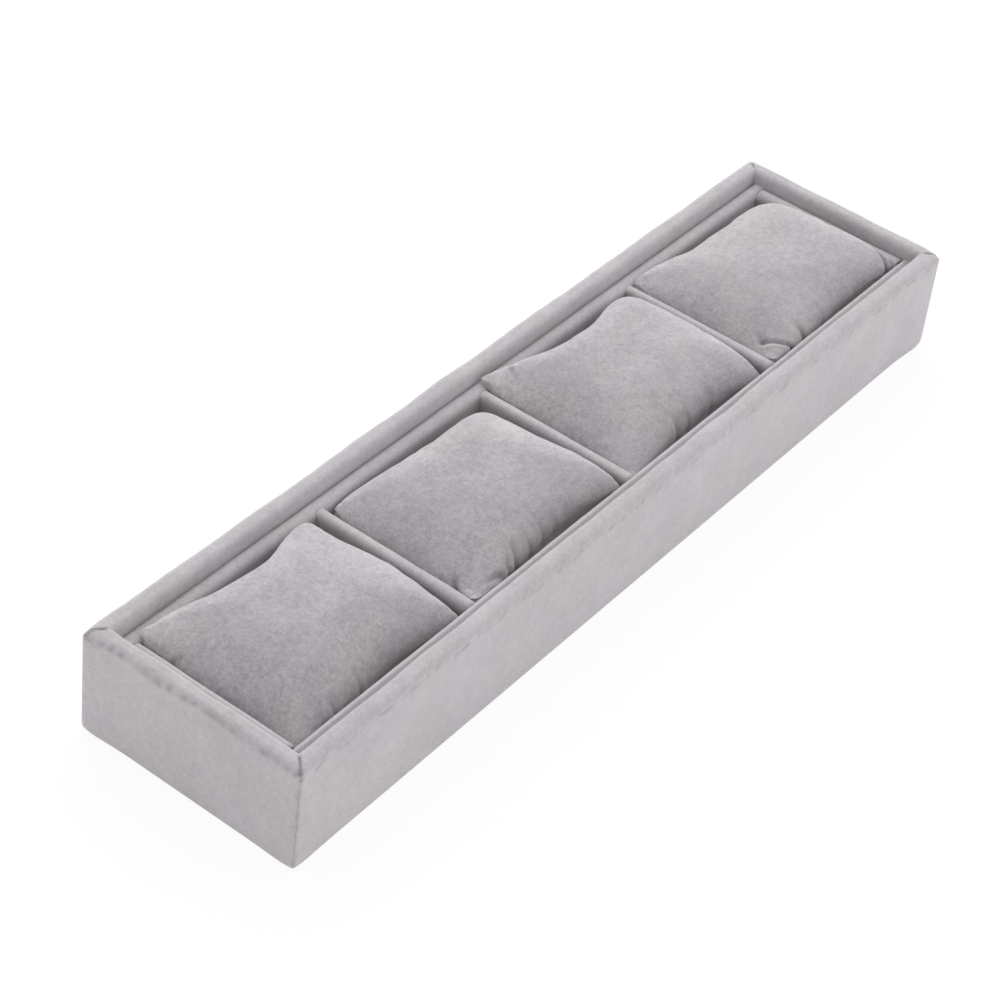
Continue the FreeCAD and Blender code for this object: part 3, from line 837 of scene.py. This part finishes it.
class CoverLiner(bpy.types.Operator):
    """Fold velvet over the four liner boards"""

    bl_idname = "jewelry_tray.cover_liner"
    bl_label = "Cover liner"

    def execute(self, context):
        velvet = context.scene.tray_velvet
        tree, sockets = fold_tree()
        for seed, (side, pressed) in enumerate(LINER_SHADE.items(), start=1):
            node = f"{side}_liner_cover"
            folded_velvet(tree, sockets, node, velvet.liner_radius, 0, pressed, velvet, seed)
        bpy.data.node_groups.remove(tree)
        return {"FINISHED"}


class CoverDividers(bpy.types.Operator):
    """Fold velvet over the three divider boards"""

    bl_idname = "jewelry_tray.cover_dividers"
    bl_label = "Cover dividers"

    def execute(self, context):
        velvet = context.scene.tray_velvet
        tree, sockets = fold_tree()
        for number in range(1, PILLOW_COUNT):
            folded_velvet(
                tree, sockets, f"divider_{number}_cover", velvet.divider_radius, velvet.divider_overlap,
                DIVIDER_SHADE, velvet, DIVIDER_SEED + number)
        bpy.data.node_groups.remove(tree)
        return {"FINISHED"}


SHEET_SPACING = 3 * MM
# How far a laid sheet's edge wavers, and the sizes and shares of the waves of its edge and its face.
SHEET_WAVER = 0.2 * MM
EDGE_WAVE, FACE_WAVE = 17 * MM, 30 * MM
EDGE_SHARE, FACE_SHARE = 0.5, 0.4
EDGE_SHARPNESS = 24
SHEET_SEED = 40


def flat_sheet(name, node, material, is_face_up, seed):
    """A flat sheet where a node lies, its free face slightly uneven and its edge cut by hand."""
    low, high = (np.array(corner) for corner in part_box(node))
    counts = np.maximum(((high - low)[:2] / SHEET_SPACING).astype(int), 2) + 1
    plan = np.stack(np.meshgrid(*(np.linspace(low[k], high[k], counts[k]) for k in range(2))), -1)
    middle, half = (low[:2] + high[:2]) / 2, (high[:2] - low[:2]) / 2
    near_edge = np.clip(np.abs((plan - middle) / half), 0, 1).max(-1, keepdims=True) ** EDGE_SHARPNESS
    wander = np.stack([ripple(plan, EDGE_WAVE, seed + k) for k in range(2)], -1)
    plan = plan - np.sign(plan - middle) * near_edge * SHEET_WAVER * (1 + EDGE_SHARE * wander)
    uneven = SHEET_WAVER * FACE_SHARE * (ripple(plan, FACE_WAVE, seed + 2) - 1) * is_face_up
    top = np.concatenate([plan, (high[2] + uneven)[..., None]], -1)
    bottom = np.concatenate([plan, np.full((*uneven.shape, 1), low[2])], -1)
    return make_piece(name, *shell_of(top, bottom), material)


class LaySheets(bpy.types.Operator):
    """Lay the velvet on the floor of the compartments and the felt under the tray"""

    bl_idname = "jewelry_tray.lay_sheets"
    bl_label = "Lay sheets"

    def execute(self, context):
        velvet = bpy.data.materials["short-pile velvet"]
        felt = bpy.data.materials["pressed polyester felt"]
        for name, node, material, is_face_up, slot, support in (
            ("floor_lining", "floor_velvet", velvet, True, "velvet", "floor_card"),
            ("underside_felt", "underside_sheet", felt, False, "underside_felt", "base_board"),
        ):
            piece = flat_sheet(name, node, material, is_face_up, SHEET_SEED + len(name))
            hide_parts(node)
            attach(piece, "tray")
        return {"FINISHED"}


def rounded(value, power):
    """Profile that falls from one in the middle to nought at the edge, squarer for a higher power."""
    return np.clip(1 - np.abs(value) ** power, 0, 1) ** (1 / power)


# How sharply the corners hold a side that is drawn in, how far a draw spreads and how far in from the side.
CORNER_HOLD = 8
SPREAD_ALONG, SPREAD_ACROSS = 0.34, 0.45
DRAW_POWER, PULL_POWER, SIDE_POWER = 3, 7, 6
# How far the seam's pinch, the roll of the sides and the fold at the seam reach, as angles from the seam.
PINCH_REACH, ROLLED_REACH, SEWN_REACH = 0.07, 0.2, 0.1
# Depth of a fold painted with full shade, how much painted shade the rolled sides get and how much painted
# light the corner gets.
FOLD_SHADE_DEPTH, ROLLED_SHADE, CORNER_LIGHT = 1.4 * MM, 0.7, 0.45
CORNER_LIGHT_ALONG, CORNER_LIGHT_ACROSS = 0.3, 0.35
# A pillow's underside: how far it clears the floor, how far its belly is pressed flat, and its fullness.
FLOOR_CLEARANCE, BELLY_DEPTH = 0.35 * MM, 2 * MM
BELLY_FULLNESS = (2.6, 2.4)
FOLD_SHOULDER = 0.6
CELL_EDGE = 0.3 * MM


def drawn_in(value, draws, places, spread):
    """How far a side is drawn in along its length, nought at its corners."""
    total = sum(draw * MM * bell(value - place, spread) for draw, place in zip(draws, places))
    return total * (1 - value ** CORNER_HOLD)


def fold_depth(plan, gathers):
    """How deep the pinched folds draw in a panel, with low shoulders on either side of each."""
    total = np.zeros(plan.shape[:-1])
    for gather in gathers:
        start, end = np.array(gather.start) * MM, np.array(gather.end) * MM
        length = np.linalg.norm(end - start)
        way = (end - start) / length
        along = (plan - start) @ way
        past = np.maximum(np.maximum(-along, along - length), 0)
        aside = (plan - start) @ np.array((-way[1], way[0]))
        away = np.hypot(aside, past) / (gather.width * MM)
        depth = np.interp(along / length, (0, 1), gather.depths) * MM
        total += depth * (1 - FOLD_SHOULDER * away ** 2) * bell(away, 1)
    return total


def pillow_middle(number):
    """Where the middle of a pillow lies along the tray."""
    low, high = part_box(f"pillow_{number}_top_panel")
    return (low.x + high.x) / 2


def held_in_cell(panel, number, pillow):
    """A panel held off the walls of its compartment, where it is below their tops."""
    middle = np.array((pillow_middle(number), 0))
    half = np.array((CELL_HALF_LENGTH, CELL_HALF_WIDTH)) - pillow.clearance
    is_in_cell = panel[..., 2:] < LINER_TOP + CELL_EDGE
    plan = np.where(is_in_cell, np.clip(panel[..., :2], middle - half, middle + half), panel[..., :2])
    return np.concatenate([plan, panel[..., 2:]], -1)


def corners_rounded(x, y, half_x, half_y, radius):
    """Plan of a panel with its four corners rounded."""
    past_x, past_y = np.abs(x) - half_x + radius, np.abs(y) - half_y + radius
    is_corner = (past_x > 0) & (past_y > 0)
    share = np.maximum(past_x, past_y) / np.maximum(np.hypot(past_x, past_y), TINY)
    x = np.where(is_corner, np.sign(x) * (half_x - radius + past_x * share), x)
    y = np.where(is_corner, np.sign(y) * (half_y - radius + past_y * share), y)
    return x, y


def pillow_grids(number, pillow):
    """Top and bottom panel of one pillow as matching grids that share their seam."""
    shape = PILLOWS[number - 1]
    half_x, half_y = CELL_HALF_LENGTH - pillow.clearance, CELL_HALF_WIDTH - pillow.clearance
    turn_x, turn_y = np.meshgrid(*(
        np.linspace(-1, 1, count) * math.pi / 2 for count in (PANEL_COLUMNS, PANEL_ROWS)))
    s, t = np.sin(turn_x), np.sin(turn_y)
    left, right = (
        drawn_in(t, draws, DRAWS_ACROSS, SPREAD_ACROSS) for draws in (shape.left_draws, shape.right_draws))
    front, rear = (
        drawn_in(s, draws, DRAWS_ALONG, SPREAD_ALONG) for draws in (shape.front_draws, shape.rear_draws))
    x = half_x * s - np.where(s < 0, -left, right) * np.abs(s) ** DRAW_POWER
    y = half_y * t - np.where(t < 0, -front, rear) * np.abs(t) ** DRAW_POWER
    seam = np.full(s.shape, pillow.seam_level)
    corners = zip(CORNER_WAYS, shape.ear_rises, shape.ear_tightness, shape.ear_pulls)
    for (way_x, way_y), rise, tightness, (pull_x, pull_y) in corners:
        near_x, near_y = (1 + way_x * s) / 2, (1 + way_y * t) / 2
        side_tightness = max(tightness, LEFT_TIGHTNESS) if way_x < 0 else tightness
        seam = seam + rise * MM * near_x ** tightness * near_y ** side_tightness
        pulled = MM * (near_x * near_y) ** PULL_POWER
        x = x - way_x * pull_x * pulled
        y = y - way_y * pull_y * pulled
    x, y = corners_rounded(x, y, half_x, half_y, pillow.corner_radius)
    from_seam = math.pi / 2 - np.maximum(np.abs(turn_x), np.abs(turn_y))
    pinch = pillow.seam_depth * bell(from_seam, PINCH_REACH)
    x = x - pinch * np.sign(s) * s ** SIDE_POWER
    y = y - pinch * np.sign(t) * t ** SIDE_POWER
    left_full, right_full, front_full, rear_full = shape.fullness
    dome = rounded(s, np.where(s < 0, left_full, right_full))
    dome = dome * rounded(t, np.where(t < 0, front_full, rear_full))
    plan = np.stack([x, y], -1)
    top = np.stack([x, y, seam + (pillow.crown_level - seam) * dome], -1)
    fold = fold_depth(plan, shape.gathers)
    top = top - fold[..., None] * grid_normals(top)
    # Painted shade in the folds and where the sides roll under, most at the front, not at the corners.
    rolled = bell(from_seam, ROLLED_REACH) * (1 - np.minimum(np.abs(s), np.abs(t)) ** SIDE_POWER)
    rolled = rolled * np.clip(0.4 - t, 0.25, 1)
    # Painted light at the rear left corner, which touches nothing.
    corner_light = bell(1 + s, CORNER_LIGHT_ALONG) * bell(1 - t, CORNER_LIGHT_ACROSS)
    pressed = np.clip(fold / FOLD_SHADE_DEPTH, 0, 1) + ROLLED_SHADE * rolled - CORNER_LIGHT * corner_light
    rest = FLOOR_TOP + FLOOR_CLEARANCE
    belly = rounded(s, BELLY_FULLNESS[0]) * rounded(t, BELLY_FULLNESS[1])
    below = np.maximum(seam - (seam - rest + BELLY_DEPTH) * belly, rest)
    drawn = (top[..., :2] - plan) * bell(from_seam, SEWN_REACH)[..., None]
    bottom = np.concatenate([plan + drawn, below[..., None]], -1)
    middle = np.array((pillow_middle(number), 0, 0))
    top, bottom = (held_in_cell(panel + middle, number, pillow) for panel in (top, bottom))
    return top, bottom, np.clip(pressed, -0.5, 1)


def sew_panels(top, bottom):
    """Points and faces of two grids joined along their common edge, and the points of that edge in order.

    The tip of each corner is cut off, so that no face of one panel lies on a face of the other.
    """
    rows, columns = top.shape[:2]
    count = rows * columns
    index = np.arange(count).reshape(rows, columns)
    under = index.copy()
    under[1:-1, 1:-1] = np.arange(count, count + (rows - 2) * (columns - 2)).reshape(rows - 2, columns - 2)
    quads = np.concatenate([grid_quads(index), grid_quads(under)[:, [0, 3, 2, 1]]])
    points = np.concatenate([top.reshape(-1, 3), bottom[1:-1, 1:-1].reshape(-1, 3)])
    tips = {index[0, 0], index[0, -1], index[-1, 0], index[-1, -1]}
    faces = [[point for point in quad if point not in tips] for quad in quads.tolist()]
    return points, faces, grid_edge(index)


def drop_loose_points(piece):
    """Delete the points of a piece that no face uses."""
    form = bmesh.new()
    form.from_mesh(piece.data)
    bmesh.ops.delete(form, geom=[point for point in form.verts if not point.link_faces], context="VERTS")
    form.to_mesh(piece.data)
    form.free()


def points_of(piece):
    """Places of a piece's points."""
    places = np.empty(len(piece.data.vertices) * 3)
    piece.data.vertices.foreach_get("co", places)
    return places.reshape(-1, 3)


def softened(grid, passes):
    """A grid of values with its small waves smoothed out, along one way and then the other."""
    for _ in range(2 * passes):
        wide = np.concatenate([grid[:1], grid, grid[-1:]])
        grid = ((wide[:-2] + 2 * grid + wide[2:]) / 4).swapaxes(0, 1)
    return grid


# Where a panel goes from crown to seam, as shares of the way out from its middle.
SEAM_ZONE = (0.45, 0.85)
SOFTENING_PASSES = 12
# How long the filling presses on the velvet, and how the velvet takes it: slack by three parts in a hundred,
# light, soft, and held at its seam.
FILLING_STEPS = 20
SEAM_GROUP = "seam"
CLOTH = {
    "quality": 5, "mass": 0.0005, "shrink_min": -0.03, "vertex_group_mass": SEAM_GROUP,
    "tension_stiffness": 5.0, "compression_stiffness": 5.0, "shear_stiffness": 5.0, "bending_stiffness": 0.1,
    "use_pressure": True, "uniform_pressure_force": 4.0,
}


def near_seam():
    """Share by which each point of a panel is near its seam."""
    across, down = (np.abs(np.linspace(-1, 1, count)) for count in (PANEL_COLUMNS, PANEL_ROWS))
    return ramp(np.maximum(across[None, :], down[:, None]), *SEAM_ZONE) ** 2


def press_out(top, bottom, number, pillow):
    """Panels with the small wrinkles that the filling makes in slack velvet sewn down at its seam."""
    points, faces, edge = sew_panels(top, bottom)
    trial = make_piece("filled_panels", points, faces, bpy.data.materials["pillow velvet"])
    trial.vertex_groups.new(name=SEAM_GROUP).add(edge.tolist(), 1.0, "REPLACE")
    cloth = trial.modifiers.new("velvet", "CLOTH")
    cloth.point_cache.frame_start, cloth.point_cache.frame_end = 1, FILLING_STEPS
    for name, value in CLOTH.items():
        setattr(cloth.settings, name, value)
    cloth.settings.effector_weights.gravity = 0
    for step in range(1, FILLING_STEPS + 1):
        bpy.context.scene.frame_set(step)
    bake(trial)
    moved = points_of(trial) - points
    bpy.context.scene.frame_set(1)
    mesh = trial.data
    bpy.data.objects.remove(trial)
    bpy.data.meshes.remove(mesh)
    count = top.shape[0] * top.shape[1]
    top_move = moved[:count].reshape(top.shape)
    bottom_move = np.zeros(bottom.shape)
    bottom_move[1:-1, 1:-1] = moved[count:].reshape(bottom[1:-1, 1:-1].shape)
    panels = []
    for panel, move in ((top, top_move), (bottom, bottom_move)):
        wrinkle = move - softened(move, SOFTENING_PASSES)
        size = np.linalg.norm(wrinkle, axis=-1, keepdims=True)
        share = pillow.crown_wrinkle + (pillow.edge_wrinkle - pillow.crown_wrinkle) * near_seam()[..., None]
        wrinkled = panel + wrinkle * share * np.minimum(1, pillow.swell / np.maximum(size, TINY))
        panels.append(held_in_cell(wrinkled, number, pillow))
    return panels


class StuffPillows(bpy.types.Operator):
    """Sew, fill and set in the four pillows"""

    bl_idname = "jewelry_tray.stuff_pillows"
    bl_label = "Stuff pillows"

    def execute(self, context):
        pillow = context.scene.tray_pillow
        material = bpy.data.materials["pillow velvet"]
        for number in range(1, PILLOW_COUNT + 1):
            top, bottom, pressed = pillow_grids(number, pillow)
            top, bottom = press_out(top, bottom, number, pillow)
            points, faces, _ = sew_panels(top, bottom)
            pressed = np.concatenate([pressed.ravel(), np.zeros(len(points) - pressed.size)])
            piece = make_piece(f"pillow_{number}", points, faces, material, pressed)
            fuller = piece.modifiers.new("smooth", "SUBSURF")
            fuller.levels = fuller.render_levels = 1
            bake(piece)
            drop_loose_points(piece)
            panels = [f"pillow_{number}_{part}" for part in ("top_panel", "bottom_panel", "filling")]
            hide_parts(*panels)
            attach(piece, f"pillow_{number}")
        return {"FINISHED"}


class FinishBoards(bpy.types.Operator):
    """Give the boards and the floor card their own finish"""

    bl_idname = "jewelry_tray.finish_boards"
    bl_label = "Finish boards"

    def execute(self, context):
        for node in BOARD_NODES:
            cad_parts[node].material_slots[0].material = bpy.data.materials["medium-density fibreboard"]
        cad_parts["floor_card"].material_slots[0].material = bpy.data.materials["grey card"]
        return {"FINISHED"}


class MixMaterials(bpy.types.Operator):
    """Make the velvet, felt, board and card finishes"""

    bl_idname = "jewelry_tray.mix_materials"
    bl_label = "Mix materials"

    def execute(self, context):
        velvet, pillow = context.scene.tray_velvet, context.scene.tray_pillow
        velvet_material("short-pile velvet", velvet.pile_shade, velvet.pile_light, velvet.slope_shading, 2.0)
        velvet_material("pillow velvet", pillow.pile_shade, pillow.pile_light, pillow.slope_shading, 31.0)
        fibre_material("pressed polyester felt", "#7F7B7D", "#9A9698", 0.5 * MM, 0.15 * MM, 0.5, 4.0)
        fibre_material("medium-density fibreboard", "#5C5855", "#736E69", 0.7 * MM, 0.05 * MM, 0.2, 8.0)
        fibre_material("grey card", "#84807B", "#98948E", 0.4 * MM, 0.03 * MM, 1.1, 12.0)
        return {"FINISHED"}


def shown_to_eye(tree, unseen, seen):
    """Shader that is one thing to the camera, also by way of gloss or glass, and another to the light."""
    path = add_node(tree, "ShaderNodeLightPath").outputs
    direct = maths(tree, "MAXIMUM", path["Is Camera Ray"], path["Is Glossy Ray"])
    direct = maths(tree, "MAXIMUM", direct, path["Is Transmission Ray"])
    return add_node(tree, "ShaderNodeMixShader", {0: direct, 1: unseen, 2: seen}).outputs[0]


FLOOR_HALF = 3.0
LAMP_SIZE = 2.0
SENSOR_WIDTH = 36
CLIP_START, CLIP_END = 0.05, 20
# Share of the paper's look that is glow, not light that falls on it, and the strength of the glow.
PAPER_GLOW, GLOW_STRENGTH = 0.86, 1.03
WHITE, PAPER = (*linear("#FFFFFF"), 1), (*linear("#F4F4F4"), 1)


class SetStage(bpy.types.Operator):
    """Set up the floor, the surround, the two lights and the camera"""

    bl_idname = "jewelry_tray.set_stage"
    bl_label = "Set stage"

    def execute(self, context):
        scene, stage = context.scene, context.scene.tray_stage
        scene.view_settings.view_transform = "Standard"
        corners = FLOOR_HALF * np.array(((-1, -1, 0), (1, -1, 0), (1, 1, 0), (-1, 1, 0)))
        floor = make_piece("studio_floor", corners, [(0, 1, 2, 3)], self.floor_material())
        self.light_surround(scene, stage)
        for name, power, place in (
            ("softbox", stage.softbox_power, stage.softbox_place),
            ("fill light", stage.fill_power, stage.fill_place),
        ):
            lamp = bpy.data.lights.new(name, "AREA")
            lamp.shape = "DISK"
            lamp.size = LAMP_SIZE
            lamp.energy = power
            light = bpy.data.objects.new(name, lamp)
            light.location = place
            light.rotation_euler = (-light.location).to_track_quat("-Z", "Y").to_euler()
            scene.collection.objects.link(light)
        lens = bpy.data.cameras.new("camera")
        lens.sensor_width = SENSOR_WIDTH
        lens.lens = stage.lens
        lens.clip_start, lens.clip_end = CLIP_START, CLIP_END
        camera = bpy.data.objects.new("camera", lens)
        camera.matrix_world = Matrix.LocRotScale(
            Vector(stage.camera_place), Euler(stage.camera_turn).to_quaternion(), None)
        scene.collection.objects.link(camera)
        scene.camera = camera
        return {"FINISHED"}

    def floor_material(self):
        """Matt white studio paper that stays white to the eye and keeps a faint shadow."""
        material, tree, output = fresh_material("white studio paper")
        paper = add_node(tree, "ShaderNodeBsdfDiffuse", {"Color": PAPER}).outputs[0]
        glow = add_node(tree, "ShaderNodeEmission", {"Color": WHITE, "Strength": GLOW_STRENGTH}).outputs[0]
        lit = add_node(tree, "ShaderNodeMixShader", {0: PAPER_GLOW, 1: paper, 2: glow}).outputs[0]
        tree.links.new(shown_to_eye(tree, paper, lit), output.inputs["Surface"])
        return material

    def light_surround(self, scene, stage):
        """Even white surround, plain white where the camera sees it."""
        world = bpy.data.worlds.new("white surround")
        world.use_nodes = True
        scene.world = world
        tree = world.node_tree
        tree.nodes.clear()
        light, white = (
            add_node(tree, "ShaderNodeBackground", {"Color": WHITE, "Strength": strength}).outputs[0]
            for strength in (stage.sky_strength, 1.0))
        add_node(tree, "ShaderNodeOutputWorld", {"Surface": shown_to_eye(tree, light, white)})


class TrayPanel(bpy.types.Panel):
    """Steps and settings of the jewelry tray"""

    bl_idname = "VIEW3D_PT_jewelry_tray"
    bl_label = "Jewelry tray"
    bl_space_type = "VIEW_3D"
    bl_region_type = "UI"
    bl_category = "Jewelry tray"

    def draw(self, context):
        for step in STEPS:
            self.layout.operator(step.bl_idname)
        for group in (context.scene.tray_velvet, context.scene.tray_pillow, context.scene.tray_stage):
            box = self.layout.box()
            for name in group.__annotations__:
                box.prop(group, name)


STEPS = (MixMaterials, FinishBoards, CoverWalls, CoverLiner, CoverDividers, LaySheets, StuffPillows, SetStage)
CLASSES = (VelvetSettings, PillowSettings, StageSettings, *STEPS, TrayPanel)


def register():
    for kind in CLASSES:
        bpy.utils.register_class(kind)
    bpy.types.Scene.tray_velvet = PointerProperty(type=VelvetSettings)
    bpy.types.Scene.tray_pillow = PointerProperty(type=PillowSettings)
    bpy.types.Scene.tray_stage = PointerProperty(type=StageSettings)


def unregister():
    del bpy.types.Scene.tray_stage
    del bpy.types.Scene.tray_pillow
    del bpy.types.Scene.tray_velvet
    for kind in reversed(CLASSES):
        bpy.utils.unregister_class(kind)


def main():
    """Dress the tray."""
    register()
    bpy.ops.jewelry_tray.mix_materials()
    bpy.ops.jewelry_tray.finish_boards()
    bpy.ops.jewelry_tray.cover_walls()
    bpy.ops.jewelry_tray.cover_liner()
    bpy.ops.jewelry_tray.cover_dividers()
    bpy.ops.jewelry_tray.lay_sheets()
    bpy.ops.jewelry_tray.stuff_pillows()
    bpy.ops.jewelry_tray.set_stage()


if __name__ == "__main__":
    main()
